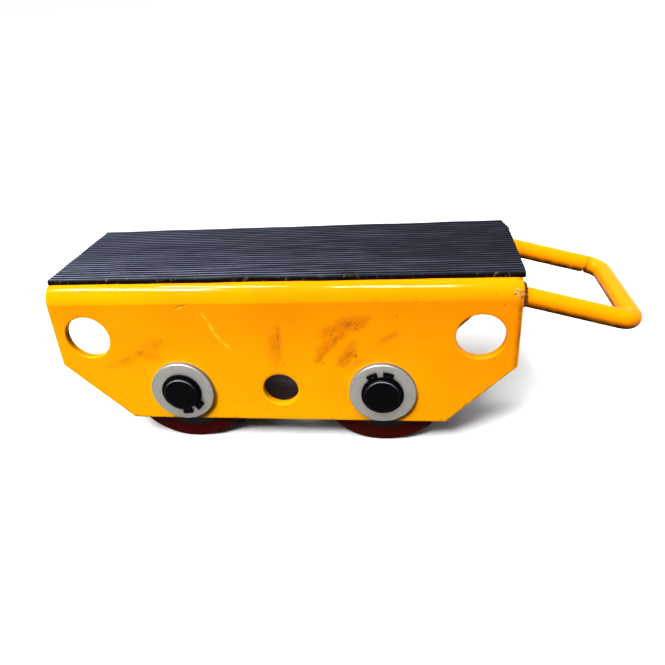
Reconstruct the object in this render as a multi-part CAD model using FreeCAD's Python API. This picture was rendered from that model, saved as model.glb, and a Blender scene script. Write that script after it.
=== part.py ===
import FreeCAD, Part
import math
import os

# Machine skate: a folded steel channel with a ribbed rubber deck mat runs on two wide
# polyurethane wheels, each on a pair of ball bearings and a plain shaft kept by circlips.
# A welded loop handle stands at the front end. Lengths are in millimetres.
# X runs along the skate towards the handle, Y across it and Z up.
# The origin is on the floor, under the middle of the overall length and width.

# Wheels
WHEEL_DIAMETER = 75.0
WHEEL_WIDTH = 78.0
WHEEL_SPACING = 112.0
WHEEL_SIDE_GAP = 1.0
TREAD_THICKNESS = 9.0
TREAD_EDGE_RADIUS = 1.5
CORE_CHAMFER = 1.0
SEAT_SHOULDER = 2.5

# Folded channel
FRAME_LENGTH = 250.0
PLATE_THICKNESS = 5.0
FOLD_INNER_RADIUS = 4.0
DECK_ABOVE_AXLE = 62.0
SIDE_BELOW_AXLE = 20.0
CORNER_CUT = 35.5
CORNER_ROUNDING = 2.0
EDGE_ROUNDING = 0.6
END_HOLE_DIAMETER = 25.0
END_HOLE_FROM_END = 19.0
END_HOLE_BELOW_DECK = 29.0
LINK_HOLE_DIAMETER = 19.5
HOLE_RIM_ROUNDING = 0.9

# Deck mat
MAT_THICKNESS = 3.0
MAT_FROM_SIDE = 5.7
RIB_PITCH = 3.0
RIB_DEPTH = 1.0
RIB_TOP_WIDTH = 1.5
GROOVE_FLOOR_WIDTH = 0.8

# Loop handle and its welds
HANDLE_BAR_DIAMETER = 10.0
HANDLE_SLOPE_DEGREES = 15.3
HANDLE_REACH = 58.0
HANDLE_BEND_RADIUS = 7.5
HANDLE_TAIL_LENGTH = 20.0
HANDLE_TAIL_BEND_RADIUS = 20.0
HANDLE_TAIL_FROM_END = 2.5
HANDLE_WELD_GAP = 0.1
WELD_SIZE = 2.5

# Shafts, washers and circlips
SHAFT_DIAMETER = 20.0
SHAFT_RUNNING_GAP = 0.1
SHAFT_END_MARGIN = 1.6
SHAFT_CHAMFER = 0.8
SIDE_PLAY = 0.1
WASHER_DIAMETER = 36.0
WASHER_THICKNESS = 3.0
WASHER_BORE_GAP = 0.5
WASHER_EDGE_CHAMFER = 0.4
CIRCLIP_THICKNESS = 1.2
CIRCLIP_GROOVE_WIDTH = 1.3
CIRCLIP_GROOVE_DEPTH = 0.5
CIRCLIP_BACK_WIDTH = 2.0
CIRCLIP_ARM_WIDTH = 1.7
CIRCLIP_LUG_HEIGHT = 4.3
CIRCLIP_LUG_HOLE_DIAMETER = 1.6
CIRCLIP_GAP_DEGREES = 15.0
CIRCLIP_LUG_DEGREES = 25.0

# Direction in which each circlip's gap points, seen along +Y, counted from +X towards +Z
CIRCLIP_TURN_DEGREES = {
    ("front", "right"): 95.0,
    ("front", "left"): 200.0,
    ("rear", "right"): -63.0,
    ("rear", "left"): 40.0,
}

# Ball bearings and the tubes between them
BEARING_DIAMETER = 42.0
BEARING_WIDTH = 12.0
BEARING_RECESS = 3.0
BEARING_EDGE_CHAMFER = 0.8
BALL_DIAMETER = 6.35
BALL_COUNT = 9
BALL_GAP = 0.05
RACE_RELIEF = 0.15
RACE_DEPTH = 1.3
CAGE_LAND_GAP = 0.5
CAGE_SEAL_GAP = 0.5
CAGE_PRONG_LENGTH = 2.1
POCKET_GAP = 0.15
SEAL_THICKNESS = 0.6
SEAL_RECESS = 0.3
SEAL_LIP_GAP = 0.3
SPACER_WALL = 3.0
SLIDE_FIT_GAP = 0.02

# Length by which a cutting tool runs past the face it cuts
OVERRUN = 5.0

# Distance under which two places on an edge count as the same
MATCH = 0.05

# Places that follow from the sizes above
axle_height = WHEEL_DIAMETER / 2
frame_width = WHEEL_WIDTH + 2 * (WHEEL_SIDE_GAP + PLATE_THICKNESS)
outer_face = frame_width / 2
inner_face = outer_face - PLATE_THICKNESS
deck_height = axle_height + DECK_ABOVE_AXLE
side_foot = axle_height - SIDE_BELOW_AXLE
fold_outer_radius = FOLD_INNER_RADIUS + PLATE_THICKNESS
fold_start = deck_height - fold_outer_radius
bar_radius = HANDLE_BAR_DIAMETER / 2
slope = math.radians(HANDLE_SLOPE_DEGREES)
leg_y = inner_face - HANDLE_WELD_GAP - bar_radius
tail_z = deck_height - PLATE_THICKNESS - HANDLE_WELD_GAP - bar_radius
handle_overhang = HANDLE_REACH * math.cos(slope) + bar_radius
frame_middle = -handle_overhang / 2
frame_front = frame_middle + FRAME_LENGTH / 2
frame_rear = frame_middle - FRAME_LENGTH / 2
shaft_radius = SHAFT_DIAMETER / 2
groove_start = outer_face + SIDE_PLAY + WASHER_THICKNESS
groove_end = groove_start + CIRCLIP_GROOVE_WIDTH
shaft_end = groove_end + SHAFT_END_MARGIN
bearing_outer_face = WHEEL_WIDTH / 2 - BEARING_RECESS
bearing_inner_face = bearing_outer_face - BEARING_WIDTH
bearing_middle = (bearing_inner_face + bearing_outer_face) / 2
pitch_radius = (SHAFT_DIAMETER + BEARING_DIAMETER) / 4
ball_radius = BALL_DIAMETER / 2
inner_track = pitch_radius - ball_radius - BALL_GAP
outer_track = pitch_radius + ball_radius + BALL_GAP
inner_land = inner_track + RACE_DEPTH
outer_land = outer_track - RACE_DEPTH

AXLE_PLACES = {
    "front": frame_middle + WHEEL_SPACING / 2,
    "rear": frame_middle - WHEEL_SPACING / 2,
}
SIDES = {"right": -1, "left": 1}

X_AXIS = FreeCAD.Vector(1, 0, 0)
Y_AXIS = FreeCAD.Vector(0, 1, 0)


def point(x, y, z):
    return FreeCAD.Vector(x, y, z)


def write(node, solids):
    """Writes one sub-part as a compound of its separate solids."""
    Part.makeCompound(solids).exportStep("parts/" + node + ".step")


def polygon_face(points):
    return Part.Face(Part.makePolygon(points + points[:1]))


def cylinder_along_y(radius, low, high, x, z):
    return Part.makeCylinder(radius, high - low, point(x, low, z), Y_AXIS)


def turned(profile, x):
    """Solid of revolution about a shaft's line: profile is a list of (radius, y)."""
    points = [point(x, y, axle_height + radius) for radius, y in profile]
    return polygon_face(points).revolve(point(x, 0, axle_height), Y_AXIS, 360)


def ring(inner, outer, low, high, x):
    return turned([(inner, low), (outer, low), (outer, high), (inner, high)], x)


def channel_section(thickness, x):
    """Face of the folded plate's cross-section, with its two rounded folds, at the place x."""
    inner_radius = fold_outer_radius - thickness
    centre_y = outer_face - fold_outer_radius
    middle_share = math.sqrt(0.5)

    def fold(radius, side):
        return [
            point(x, side * (centre_y + radius), fold_start),
            point(x, side * (centre_y + radius * middle_share), fold_start + radius * middle_share),
            point(x, side * centre_y, fold_start + radius),
        ]

    outer_left = fold(fold_outer_radius, 1)
    outer_right = fold(fold_outer_radius, -1)[::-1]
    inner_left = fold(inner_radius, 1)[::-1]
    inner_right = fold(inner_radius, -1)
    foot = [
        point(x, outer_face, side_foot),
        point(x, -outer_face, side_foot),
        point(x, -outer_face + thickness, side_foot),
        point(x, outer_face - thickness, side_foot),
    ]
    edges = [
        Part.makeLine(foot[0], outer_left[0]),
        Part.Arc(*outer_left).toShape(),
        Part.makeLine(outer_left[2], outer_right[0]),
        Part.Arc(*outer_right).toShape(),
        Part.makeLine(outer_right[2], foot[1]),
        Part.makeLine(foot[1], foot[2]),
        Part.makeLine(foot[2], inner_right[0]),
        Part.Arc(*inner_right).toShape(),
        Part.makeLine(inner_right[2], inner_left[0]),
        Part.Arc(*inner_left).toShape(),
        Part.makeLine(inner_left[2], foot[3]),
        Part.makeLine(foot[3], foot[0]),
    ]
    return Part.Face(Part.Wire(edges))


def frame_channel():
    """Folded plate with cut lower corners, rounded cut edges and its holes."""
    shape = channel_section(PLATE_THICKNESS, frame_rear).extrude(X_AXIS * FRAME_LENGTH)
    for end, inward in ((frame_front, -1), (frame_rear, 1)):
        corner = polygon_face([
            point(end - inward * OVERRUN, -outer_face - OVERRUN, side_foot - OVERRUN),
            point(end + inward * (CORNER_CUT + OVERRUN), -outer_face - OVERRUN, side_foot - OVERRUN),
            point(end - inward * OVERRUN, -outer_face - OVERRUN, side_foot + CORNER_CUT + OVERRUN),
        ])
        shape = shape.cut(corner.extrude(Y_AXIS * (frame_width + 2 * OVERRUN)))
    shape = shape.makeFillet(CORNER_ROUNDING, [e for e in shape.Edges if is_corner(e)])
    shape = shape.makeFillet(EDGE_ROUNDING, [e for e in shape.Edges if is_cut_edge(e)])
    holes = [(frame_middle, axle_height, LINK_HOLE_DIAMETER / 2, HOLE_RIM_ROUNDING)]
    for x in AXLE_PLACES.values():
        holes.append((x, axle_height, shaft_radius + SHAFT_RUNNING_GAP, EDGE_ROUNDING))
    for x in (frame_front - END_HOLE_FROM_END, frame_rear + END_HOLE_FROM_END):
        holes.append((x, deck_height - END_HOLE_BELOW_DECK, END_HOLE_DIAMETER / 2, HOLE_RIM_ROUNDING))
    for x, z, radius, rounding in holes:
        shape = shape.cut(cylinder_along_y(radius, -outer_face - OVERRUN, outer_face + OVERRUN, x, z))
        shape = shape.makeFillet(rounding, [e for e in shape.Edges if is_rim(e, x, z, radius)])
    return shape


def is_corner(edge):
    """Short edge across a side plate, where the cut corner meets the end or the foot."""
    box = edge.BoundBox
    across = box.XLength < MATCH and box.ZLength < MATCH
    return across and box.ZMax < fold_start


def is_cut_edge(edge):
    """Edge of the plate's outline, where the cut face meets the outer or the inner skin."""
    box = edge.BoundBox
    along_fold = box.YLength < MATCH and box.ZLength < MATCH and box.ZMin > side_foot + MATCH
    return not along_fold and not is_corner(edge)


def is_rim(edge, x, z, radius):
    """Circular edge square to Y, about the place x, z."""
    if not isinstance(edge.Curve, Part.Circle):
        return False
    centre = edge.Curve.Center
    near = abs(centre.x - x) < MATCH and abs(centre.z - z) < MATCH
    return near and abs(edge.Curve.Radius - radius) < MATCH


def deck_mat():
    """Mat with flat-topped ribs along the skate, flush with the ends of the deck."""
    half_width = outer_face - MAT_FROM_SIDE
    count = int(2 * half_width // RIB_PITCH)
    top = deck_height + MAT_THICKNESS
    floor = top - RIB_DEPTH
    groove_top = RIB_PITCH - RIB_TOP_WIDTH
    points = [point(frame_rear, -half_width, deck_height), point(frame_rear, -half_width, top)]
    for index in range(1, count):
        y = (index - count / 2) * RIB_PITCH
        points += [
            point(frame_rear, y - groove_top / 2, top),
            point(frame_rear, y - GROOVE_FLOOR_WIDTH / 2, floor),
            point(frame_rear, y + GROOVE_FLOOR_WIDTH / 2, floor),
            point(frame_rear, y + groove_top / 2, top),
        ]
    points += [point(frame_rear, half_width, top), point(frame_rear, half_width, deck_height)]
    return polygon_face(points).extrude(X_AXIS * FRAME_LENGTH)


def handle_line():
    """Centre line of the handle: flat tails in the channel's upper corners, sloping legs, crossbar."""
    knee_x = frame_front - HANDLE_TAIL_FROM_END
    tail_x = knee_x - HANDLE_TAIL_LENGTH
    bend_length = HANDLE_TAIL_BEND_RADIUS * math.tan(slope / 2)
    along = point(math.cos(slope), 0, -math.sin(slope))
    leg_length = HANDLE_REACH + HANDLE_TAIL_FROM_END / math.cos(slope)
    knee = point(knee_x, leg_y, tail_z)
    corner = knee + along * leg_length
    tail_edges = [
        Part.makeLine(point(tail_x, leg_y, tail_z), knee - X_AXIS * bend_length),
        bend(knee, X_AXIS * -1, along, bend_length, HANDLE_TAIL_BEND_RADIUS, slope),
        Part.makeLine(knee + along * bend_length, corner - along * HANDLE_BEND_RADIUS),
        bend(corner, along * -1, Y_AXIS * -1, HANDLE_BEND_RADIUS, HANDLE_BEND_RADIUS, math.pi / 2),
    ]
    mirrored = [edge.mirror(point(0, 0, 0), Y_AXIS) for edge in tail_edges]
    crossbar_end = corner - Y_AXIS * HANDLE_BEND_RADIUS
    crossbar = Part.makeLine(crossbar_end, point(crossbar_end.x, -crossbar_end.y, crossbar_end.z))
    return Part.Wire(Part.__sortEdges__(tail_edges + [crossbar] + mirrored))


def bend(corner, back, ahead, tangent_length, radius, turn):
    """Arc that rounds a corner between the directions back and ahead, which point away from it."""
    middle = (back + ahead).normalize()
    inset = radius / math.cos(turn / 2) - radius
    start = corner + back * tangent_length
    end = corner + ahead * tangent_length
    return Part.Arc(start, corner + middle * inset, end).toShape()


def tow_handle():
    """Round bar swept along the handle's centre line."""
    line = handle_line()
    start = min(line.Vertexes, key=lambda vertex: (vertex.Point.x, vertex.Point.y)).Point
    section = Part.Wire(Part.makeCircle(bar_radius, start, X_AXIS))
    return line.makePipeShell([section], True, True)


def handle_welds(handle):
    """Fillet bead round each leg on the plate's end, and a seam under each tail inside the channel."""
    backing = channel_section(PLATE_THICKNESS + WELD_SIZE, frame_front).extrude(X_AXIS * (2 * WELD_SIZE))
    along = point(math.cos(slope), 0, -math.sin(slope))
    leg_z = tail_z - HANDLE_TAIL_FROM_END * math.tan(slope)
    seam_foot = tail_z - bar_radius - WELD_SIZE / 2
    seam_start = frame_front - HANDLE_TAIL_FROM_END - HANDLE_TAIL_LENGTH
    seam_length = HANDLE_TAIL_LENGTH - HANDLE_TAIL_BEND_RADIUS * math.tan(slope / 2)
    solids = []
    for side in SIDES.values():
        start = point(frame_front, side * leg_y, leg_z) - along * WELD_SIZE
        bead = Part.makeCone(bar_radius + 2 * WELD_SIZE, bar_radius, 2 * WELD_SIZE, start, along)
        solids += bead.cut(handle).common(backing).Solids
        seam = polygon_face([
            point(seam_start, side * inner_face, tail_z),
            point(seam_start, side * inner_face, seam_foot),
            point(seam_start, side * leg_y, tail_z - bar_radius),
            point(seam_start, side * leg_y, tail_z),
        ])
        solids += seam.extrude(X_AXIS * seam_length).cut(handle).Solids
    return solids


def axle_shaft(x):
    """Plain shaft with a circlip groove and a chamfer at each end."""
    groove_radius = shaft_radius - CIRCLIP_GROOVE_DEPTH
    half = [
        (shaft_radius, groove_start),
        (groove_radius, groove_start),
        (groove_radius, groove_end),
        (shaft_radius, groove_end),
        (shaft_radius, shaft_end - SHAFT_CHAMFER),
        (shaft_radius - SHAFT_CHAMFER, shaft_end),
        (0, shaft_end),
    ]
    return turned([(radius, -y) for radius, y in half[::-1]] + half, x)


def washer(x, side):
    """Flat washer between the plate and the circlip, with its outer edges broken."""
    inner = shaft_radius + WASHER_BORE_GAP
    outer = WASHER_DIAMETER / 2
    low = outer_face + SIDE_PLAY
    high = low + WASHER_THICKNESS
    profile = [
        (inner, low),
        (outer - WASHER_EDGE_CHAMFER, low),
        (outer, low + WASHER_EDGE_CHAMFER),
        (outer, high - WASHER_EDGE_CHAMFER),
        (outer - WASHER_EDGE_CHAMFER, high),
        (inner, high),
    ]
    return turned([(radius, side * y) for radius, y in profile], x)


def wedge(x, low, high, radius, centre_degrees, spread_degrees):
    """Three-sided prism from a shaft's line outwards, over an angle about centre_degrees."""
    half = math.radians(spread_degrees / 2)
    centre = math.radians(centre_degrees)
    reach = radius / math.cos(half)
    corners = [point(x, low, axle_height)]
    for angle in (centre - half, centre + half):
        corners.append(point(x + reach * math.cos(angle), low, axle_height + reach * math.sin(angle)))
    return polygon_face(corners).extrude(Y_AXIS * (high - low))


def circlip(x, side, turn_degrees):
    """Open ring, widest at its back, with a drilled lug on each side of its gap."""
    seat = shaft_radius - CIRCLIP_GROOVE_DEPTH
    middle = side * (groove_start + groove_end) / 2
    low, high = middle - CIRCLIP_THICKNESS / 2, middle + CIRCLIP_THICKNESS / 2
    outer = seat + (CIRCLIP_BACK_WIDTH + CIRCLIP_ARM_WIDTH) / 2
    offset = (CIRCLIP_BACK_WIDTH - CIRCLIP_ARM_WIDTH) / 2
    turn = math.radians(turn_degrees)
    lug_reach = seat + CIRCLIP_LUG_HEIGHT
    body_x = x - offset * math.cos(turn)
    body_z = axle_height - offset * math.sin(turn)
    body = cylinder_along_y(outer, low, high, body_x, body_z)
    lugs = cylinder_along_y(lug_reach, low, high, x, axle_height)
    spread = CIRCLIP_GAP_DEGREES + 2 * CIRCLIP_LUG_DEGREES
    lugs = lugs.common(wedge(x, low, high, lug_reach, turn_degrees, spread))
    shape = body.fuse(lugs)
    shape = shape.cut(cylinder_along_y(seat, low - OVERRUN, high + OVERRUN, x, axle_height))
    gap = wedge(x, low - OVERRUN, high + OVERRUN, lug_reach + OVERRUN, turn_degrees, CIRCLIP_GAP_DEGREES)
    shape = shape.cut(gap)
    hole_circle = seat + CIRCLIP_LUG_HEIGHT / 2
    for sign in (-1, 1):
        angle = turn + sign * math.radians(CIRCLIP_GAP_DEGREES + CIRCLIP_LUG_DEGREES) / 2
        hole_x = x + hole_circle * math.cos(angle)
        hole_z = axle_height + hole_circle * math.sin(angle)
        radius = CIRCLIP_LUG_HOLE_DIAMETER / 2
        shape = shape.cut(cylinder_along_y(radius, low - OVERRUN, high + OVERRUN, hole_x, hole_z))
    return shape.removeSplitter()


def wheel_tread(x):
    """Cast tread on the core, its outer edges rounded."""
    half = WHEEL_WIDTH / 2
    inner = WHEEL_DIAMETER / 2 - TREAD_THICKNESS
    tread = ring(inner, WHEEL_DIAMETER / 2, -half, half, x)
    rims = [e for e in tread.Edges if is_rim(e, x, axle_height, WHEEL_DIAMETER / 2)]
    return tread.makeFillet(TREAD_EDGE_RADIUS, rims)


def wheel_core(x):
    """Steel tube under the tread, bored at both ends for the bearings."""
    half = WHEEL_WIDTH / 2
    outer = WHEEL_DIAMETER / 2 - TREAD_THICKNESS
    seat = BEARING_DIAMETER / 2
    bore = seat - SEAT_SHOULDER
    end = [
        (bore, bearing_inner_face),
        (seat, bearing_inner_face),
        (seat, half - CORE_CHAMFER),
        (seat + CORE_CHAMFER, half),
        (outer, half),
    ]
    return turned([(radius, -y) for radius, y in end[::-1]] + end, x)


def bearing_rings(x, side):
    """Inner and outer ring of one bearing, each with a round ball track."""
    low, high = bearing_inner_face, bearing_outer_face
    bore = shaft_radius + SLIDE_FIT_GAP
    track_radius = ball_radius + RACE_RELIEF
    outer = BEARING_DIAMETER / 2 - SLIDE_FIT_GAP
    chamfer = BEARING_EDGE_CHAMFER
    inner_profile = [
        (bore, low + chamfer),
        (bore + chamfer, low),
        (inner_land, low),
        (inner_land, high),
        (bore + chamfer, high),
        (bore, high - chamfer),
    ]
    outer_profile = [
        (outer_land, low),
        (outer - chamfer, low),
        (outer, low + chamfer),
        (outer, high - chamfer),
        (outer - chamfer, high),
        (outer_land, high),
    ]
    centre = point(x, side * bearing_middle, axle_height)
    rings = []
    for profile, track_circle in (
        (inner_profile, inner_track + track_radius),
        (outer_profile, outer_track - track_radius),
    ):
        blank = turned([(radius, side * y) for radius, y in profile], x)
        rings.append(blank.cut(Part.makeTorus(track_circle, track_radius, centre, Y_AXIS)))
    return rings


def ball_centres(x, side):
    centres = []
    for index in range(BALL_COUNT):
        angle = 2 * math.pi * index / BALL_COUNT
        along, up = pitch_radius * math.cos(angle), pitch_radius * math.sin(angle)
        centres.append(point(x + along, side * bearing_middle, axle_height + up))
    return centres


def bearing_balls(x, side):
    return [Part.makeSphere(ball_radius, centre) for centre in ball_centres(x, side)]


def bearing_cage(x, side):
    """Crown cage: a ring beside the balls with open pockets that snap over them."""
    back = bearing_inner_face + SEAL_RECESS + SEAL_THICKNESS + CAGE_SEAL_GAP
    ends = sorted((side * back, side * (bearing_middle + CAGE_PRONG_LENGTH)))
    cage = ring(inner_land + CAGE_LAND_GAP, outer_land - CAGE_LAND_GAP, ends[0], ends[1], x)
    for centre in ball_centres(x, side):
        outward = centre - point(x, centre.y, axle_height)
        cage = cage.cut(Part.makeSphere(ball_radius + POCKET_GAP, centre, outward))
    return cage


def bearing_seals(x, side):
    """Two flat seals held in the outer ring, with a lip gap to the inner ring."""
    seals = []
    for face, inward in ((bearing_outer_face, -1), (bearing_inner_face, 1)):
        start = side * (face + inward * SEAL_RECESS)
        end = side * (face + inward * (SEAL_RECESS + SEAL_THICKNESS))
        seals.append(ring(inner_land + SEAL_LIP_GAP, outer_land, min(start, end), max(start, end), x))
    return seals


def spacer_tube(x, low, high):
    """Tube that slides on the shaft."""
    bore = shaft_radius + SLIDE_FIT_GAP
    return ring(bore, bore + SPACER_WALL, low, high, x)


def side_spacer(x, side):
    """Short tube from a bearing's inner ring to the side plate."""
    ends = sorted((side * bearing_outer_face, side * (inner_face - SIDE_PLAY)))
    return spacer_tube(x, ends[0], ends[1])


def bearing_sleeve(x):
    """Tube that keeps the two inner rings apart."""
    return spacer_tube(x, -bearing_inner_face, bearing_inner_face)


os.makedirs("parts", exist_ok=True)

handle = tow_handle()
write("frame_channel", [frame_channel()])
write("deck_mat", [deck_mat()])
write("tow_handle", [handle])
write("handle_welds", handle_welds(handle))

for axle, place in AXLE_PLACES.items():
    write(axle + "_axle_shaft", [axle_shaft(place)])
    write(axle + "_wheel_tread", [wheel_tread(place)])
    write(axle + "_wheel_core", [wheel_core(place)])
    write(axle + "_bearing_sleeve", [bearing_sleeve(place)])
    for side_name, side in SIDES.items():
        prefix = axle + "_" + side_name + "_"
        inner_ring, outer_ring = bearing_rings(place, side)
        write(prefix + "washer", [washer(place, side)])
        write(prefix + "circlip", [circlip(place, side, CIRCLIP_TURN_DEGREES[axle, side_name])])
        write(prefix + "side_spacer", [side_spacer(place, side)])
        write(prefix + "bearing_inner_ring", [inner_ring])
        write(prefix + "bearing_outer_ring", [outer_ring])
        write(prefix + "bearing_balls", bearing_balls(place, side))
        write(prefix + "bearing_cage", [bearing_cage(place, side)])
        write(prefix + "bearing_seals", bearing_seals(place, side))
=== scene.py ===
from math import cos, pi, radians, sin, tan
import bmesh
import bpy
import numpy as np
from mathutils import Matrix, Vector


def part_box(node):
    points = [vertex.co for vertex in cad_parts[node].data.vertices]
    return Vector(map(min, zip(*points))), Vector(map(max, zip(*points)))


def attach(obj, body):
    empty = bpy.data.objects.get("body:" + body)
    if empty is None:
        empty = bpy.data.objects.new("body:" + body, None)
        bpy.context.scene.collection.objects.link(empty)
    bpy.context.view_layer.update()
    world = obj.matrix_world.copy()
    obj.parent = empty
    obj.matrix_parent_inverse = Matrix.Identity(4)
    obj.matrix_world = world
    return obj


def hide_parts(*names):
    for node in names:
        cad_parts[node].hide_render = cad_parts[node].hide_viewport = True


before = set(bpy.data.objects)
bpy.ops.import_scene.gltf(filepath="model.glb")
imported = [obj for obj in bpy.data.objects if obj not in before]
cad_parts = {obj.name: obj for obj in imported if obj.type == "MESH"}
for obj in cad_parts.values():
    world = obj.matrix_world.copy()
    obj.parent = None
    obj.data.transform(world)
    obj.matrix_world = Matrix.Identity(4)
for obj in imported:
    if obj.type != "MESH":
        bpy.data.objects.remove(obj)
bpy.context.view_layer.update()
scene = bpy.context.scene
scene.view_settings.view_transform = "Standard"


# Camera: held a little above the skate, in front of its right side and towards the handle.
# The small lens shift puts the skate where the picture has it on its sheet.
photo_lens = bpy.data.cameras.new("photo camera")
photo_lens.lens = 34.836
photo_lens.sensor_width = 36.0
photo_lens.shift_x = 0.0419
photo_lens.shift_y = 0.0252
photo_camera = bpy.data.objects.new("photo camera", photo_lens)
photo_camera.matrix_world = Matrix((
    (0.987998, 0.000004, 0.154467, 0.037594),
    (0.133908, 0.498497, -0.856485, -0.337467),
    (-0.077009, 0.866886, 0.492511, 0.231705),
    (0.0, 0.0, 0.0, 1.0),
))
scene.collection.objects.link(photo_camera)
scene.camera = photo_camera


# Folded channel: one 5 mm steel plate, laser cut with its holes and corner cuts, then folded on a
# press along two lines, which leaves a faint crease under each fold. Sprayed with yellow enamel.
def corners_of(node):
    """Lowest and highest corner of a CAD node, in millimetres."""
    return (np.array(corner) * 1000 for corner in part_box(node))


low, high = corners_of("frame_channel")
rear, front, side, deck, foot = low[0], high[0], high[1], high[2], low[2]
middle = (rear + front) / 2
axle_z = sum(corners_of("front_axle_shaft"))[2] / 2
plate = 5.0
edge_round = 0.6
corner_cut, corner_round = 35.5, 2.0
fold_drop, fold_run = 8.7, 7.5
rear_lean, front_lean = radians(15), radians(4)
crease = deck - fold_drop
axle_reach = 56.0
#   length of the plate's part at each end, half length of the one in the middle, spacing of the mesh
end_cell, link_cell, grid_step = 37.5, 28.0, 2.5
#     depth of the painted shade in holes and on creases, of the grime beside cut edges and on them, and of
#     the darkening next to the front end
hole_shade, crease_shade, rim_grime, lip_grime = 0.3, 0.08, 0.75, 0.4
end_darkening, end_darkening_width = 0.9, 2.6
hair = 0.01
#   x, z of the middle, radius, rounding of the rim
end_hole = (19.0, deck - 29.0, 12.5, 0.9)
axle_hole = (middle - axle_reach, axle_z, 10.1, 0.6)
link_hole = (middle, axle_z, 9.75, 0.9)


def run(start, end):
    """Evenly spaced points on a straight line, from its start up to, but without, its end."""
    start, end = np.asarray(start, float), np.asarray(end, float)
    count = max(1, round(np.linalg.norm(end - start) / grid_step))
    return start + (end - start) * np.linspace(0, 1, count, endpoint=False)[:, None]


def fold_section(lean):
    """Outer skin of the section from the right crease over the deck to the left one, and the
    direction into the plate at each point. Each fold is a part of an ellipse that starts level at
    the deck and reaches the side while it still leans out of upright."""
    share = tan(lean) * fold_drop / fold_run
    end = np.arccos(share / (1 - share))
    turn = np.linspace(end, 0, 14)
    y = side - fold_run + fold_run * np.sin(turn) / np.sin(end)
    z = deck - fold_drop * (1 - np.cos(turn)) / (1 - np.cos(end))
    inward = (1 - turn / end) * pi / 2
    flat = np.linspace(-1, 1, 15)[1:-1] * (side - fold_run)
    places = np.concatenate([
        np.stack([-y, z], 1), np.stack([flat, np.full_like(flat, deck)], 1), np.stack([y, z], 1)[::-1],
    ])
    depth = np.concatenate([
        np.stack([np.cos(inward), -np.sin(inward)], 1),
        np.stack([np.zeros_like(flat), -np.ones_like(flat)], 1),
        np.stack([-np.cos(inward), -np.sin(inward)], 1)[::-1],
    ])
    return places, depth


def rear_outline():
    """Outline of the side plate from the rear crease down the end, the cut corner and the foot, set
    in by the edge rounding, and its outward directions. Corners are arcs about their own centres."""
    normal_angles = np.radians([180, 225, 270])
    normals = np.stack([np.cos(normal_angles), np.sin(normal_angles)], 1)
    sharp_corners = np.array([(rear, foot + corner_cut), (rear + corner_cut, foot)])
    bisectors = normals[:2] + normals[1:]
    centres = sharp_corners - corner_round * bisectors / (1 + np.sum(normals[:2] * normals[1:], 1))[:, None]
    inset = corner_round - edge_round
    arcs = []
    for centre, first in zip(centres, (180, 225)):
        angles = np.radians(np.linspace(first, first + 45, 5))
        arcs.append((centre + inset * np.stack([np.cos(angles), np.sin(angles)], 1), angles))
    pieces = [
        (run((rear + edge_round, crease), arcs[0][0][0]), np.radians(180)),
        (arcs[0][0][:-1], arcs[0][1][:-1]),
        (run(arcs[0][0][-1], arcs[1][0][0]), np.radians(225)),
        (arcs[1][0][:-1], arcs[1][1][:-1]),
        (run(arcs[1][0][-1], (rear + end_cell, foot + edge_round)), np.radians(270)),
    ]
    angles = np.concatenate([np.broadcast_to(angle, len(points)) for points, angle in pieces])
    return np.concatenate([points for points, _ in pieces]), np.stack([np.cos(angles), np.sin(angles)], 1)


def mirrored(points):
    """The same points at the other end of the skate, in the opposite order."""
    return np.stack([2 * middle - points[:, 0], points[:, 1]], 1)[::-1]


def end_darkening_at(x):
    """Darkening next to the front end, which falls evenly to nothing over a narrow band."""
    return end_darkening * np.clip(1 - (front - edge_round - x) / end_darkening_width, 0, 1)


def around_hole(loop, hole, hand):
    """Both skins of the part of a side plate inside a loop, with a round hole in it. Each loop point goes
    straight towards the hole's middle on the outer skin, round the rim, through the plate, round the other
    rim and back out on the inner skin. Painted shade darkens the hole's wall and the loop's points on the
    crease, dirt darkens the loop's points at cut edges, and the front end is darkened too."""
    x, z, radius, rounding = hole
    spoke = loop - (x, z)
    reach = np.linalg.norm(spoke, axis=1)[:, None]
    bend = np.linspace(0, pi / 2, 6)
    skin = np.array([0, 0.035, 0.15, 0.36, 0.6, 0.8, 0.94])
    outer = reach + (radius + rounding - reach) * skin
    rim = np.broadcast_to(radius + rounding * (1 - np.sin(bend)), (len(loop), len(bend)))
    away = np.concatenate([outer, rim, rim[:, ::-1], outer[:, ::-1]], axis=1)
    rim_depth = rounding * (1 - np.cos(bend))
    depth = np.concatenate([0 * skin, rim_depth, plate - rim_depth[::-1], plate + 0 * skin])
    places = np.array([x, z]) + (spoke / reach)[:, None, :] * away[:, :, None]
    y = hand * np.broadcast_to(side - depth, away.shape)
    darkening = np.concatenate([0 * skin, 0 * bend, hole_shade + 0 * bend, 0 * skin])
    darkening[len(skin) + len(bend) - 1] = hole_shade
    wear_and_painted_light = np.tile(darkening, (len(loop), 1))
    at_foot = loop[:, 1] < foot + edge_round + hair
    at_end = (loop[:, 0] < cell_ends[0] - hair) | (loop[:, 0] > cell_ends[-1] + hair)
    wear_and_painted_light[at_foot | at_end, 0] = rim_grime
    wear_and_painted_light[np.isclose(loop[:, 1], crease), 0] = crease_shade
    wear_and_painted_light = np.maximum(wear_and_painted_light, end_darkening_at(places[..., 0]))
    return np.stack([places[..., 0], y, places[..., 1], wear_and_painted_light], -1), True, False


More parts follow.
